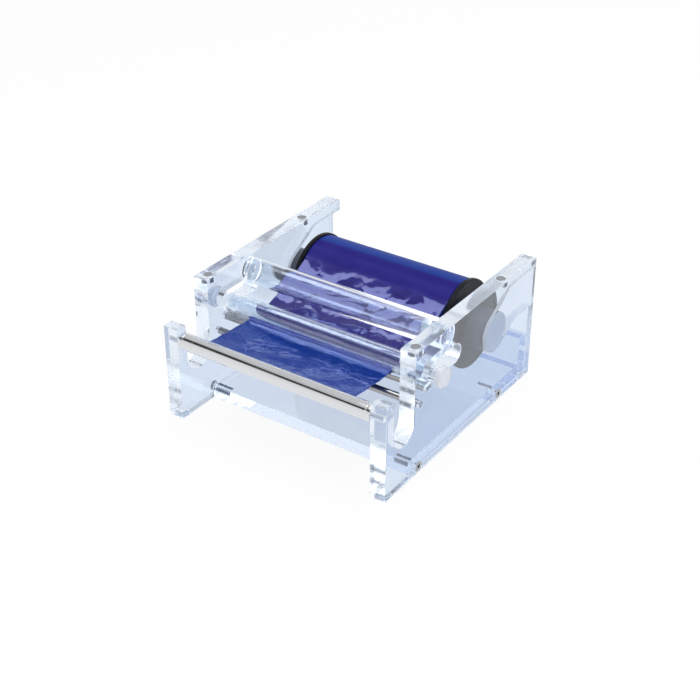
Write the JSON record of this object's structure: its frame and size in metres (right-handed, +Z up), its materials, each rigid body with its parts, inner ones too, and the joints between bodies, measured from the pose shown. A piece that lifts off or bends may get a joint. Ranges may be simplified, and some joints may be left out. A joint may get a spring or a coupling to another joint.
{
  "type": "hair foil dispenser",
  "caption": "Clear acrylic table dispenser for a roll of hair foil: side plates with roll pockets, clear rollers, a steel front rod and foil drawn forward for tearing.",
  "frame": {"origin": "on the table, under the middle of the overall box", "axes": "+X across the roll to the right-hand plate, +Y from the front rod to the rear, +Z up"},
  "size_m": [0.1974, 0.1918, 0.0953],
  "materials": {
    "acrylic": "clear cast acrylic, polished edges",
    "bright_steel": "polished steel",
    "dark_steel": "dark steel",
    "black_plastic": "satin black",
    "grey_plastic": "satin grey",
    "clear_rubber": "soft clear rubber, slightly cloudy",
    "blue_foil": "blue lacquered aluminium foil",
    "card": "wound grey-brown card"
  },
  "bodies": {
    "frame": {"side_plate_left": "acrylic", "side_plate_right": "acrylic", "base_panel": "acrylic", "rear_rail": "acrylic", "base_screws": "bright_steel", "edge_plugs": "grey_plastic", "bumper_feet": "clear_rubber", "tear_bar": "dark_steel", "tie_rod": "dark_steel", "guide_pins": "acrylic", "foil_web": "blue_foil"},
    "foil_roll": {"foil_winding": "blue_foil", "foil_core": "card", "flange_left": "black_plastic", "flange_right": "black_plastic", "hub_left": "grey_plastic", "hub_right": "grey_plastic"},
    "front_rod": {"front_rod": "bright_steel"},
    "guide_roller": {"guide_roller": "acrylic"},
    "press_shaft": {"press_shaft": "acrylic", "press_knob_left": "acrylic", "press_knob_right": "acrylic", "knob_studs": "bright_steel"},
    "press_sleeve": {"press_sleeve": "acrylic"}
  },
  "joints": [
    {"name": "roll_spin", "type": "hinge", "parent": "frame", "child": "foil_roll", "pos_m": [0, 0.04557, 0.0585], "axis": [1, 0, 0], "continuous": true},
    {"name": "front_rod_spin", "type": "hinge", "parent": "frame", "child": "front_rod", "pos_m": [0, -0.08987, 0.0625], "axis": [1, 0, 0], "continuous": true},
    {"name": "guide_roller_spin", "type": "hinge", "parent": "frame", "child": "guide_roller", "pos_m": [0, -0.01582, 0.085], "axis": [1, 0, 0], "continuous": true},
    {"name": "press_lift", "type": "slide", "parent": "frame", "child": "press_shaft", "axis": [0, 0, 1], "range_m": [0, 0.0036]},
    {"name": "press_sleeve_spin", "type": "hinge", "parent": "press_shaft", "child": "press_sleeve", "pos_m": [0, -0.03932, 0.0698], "axis": [1, 0, 0], "continuous": true}
  ]
}
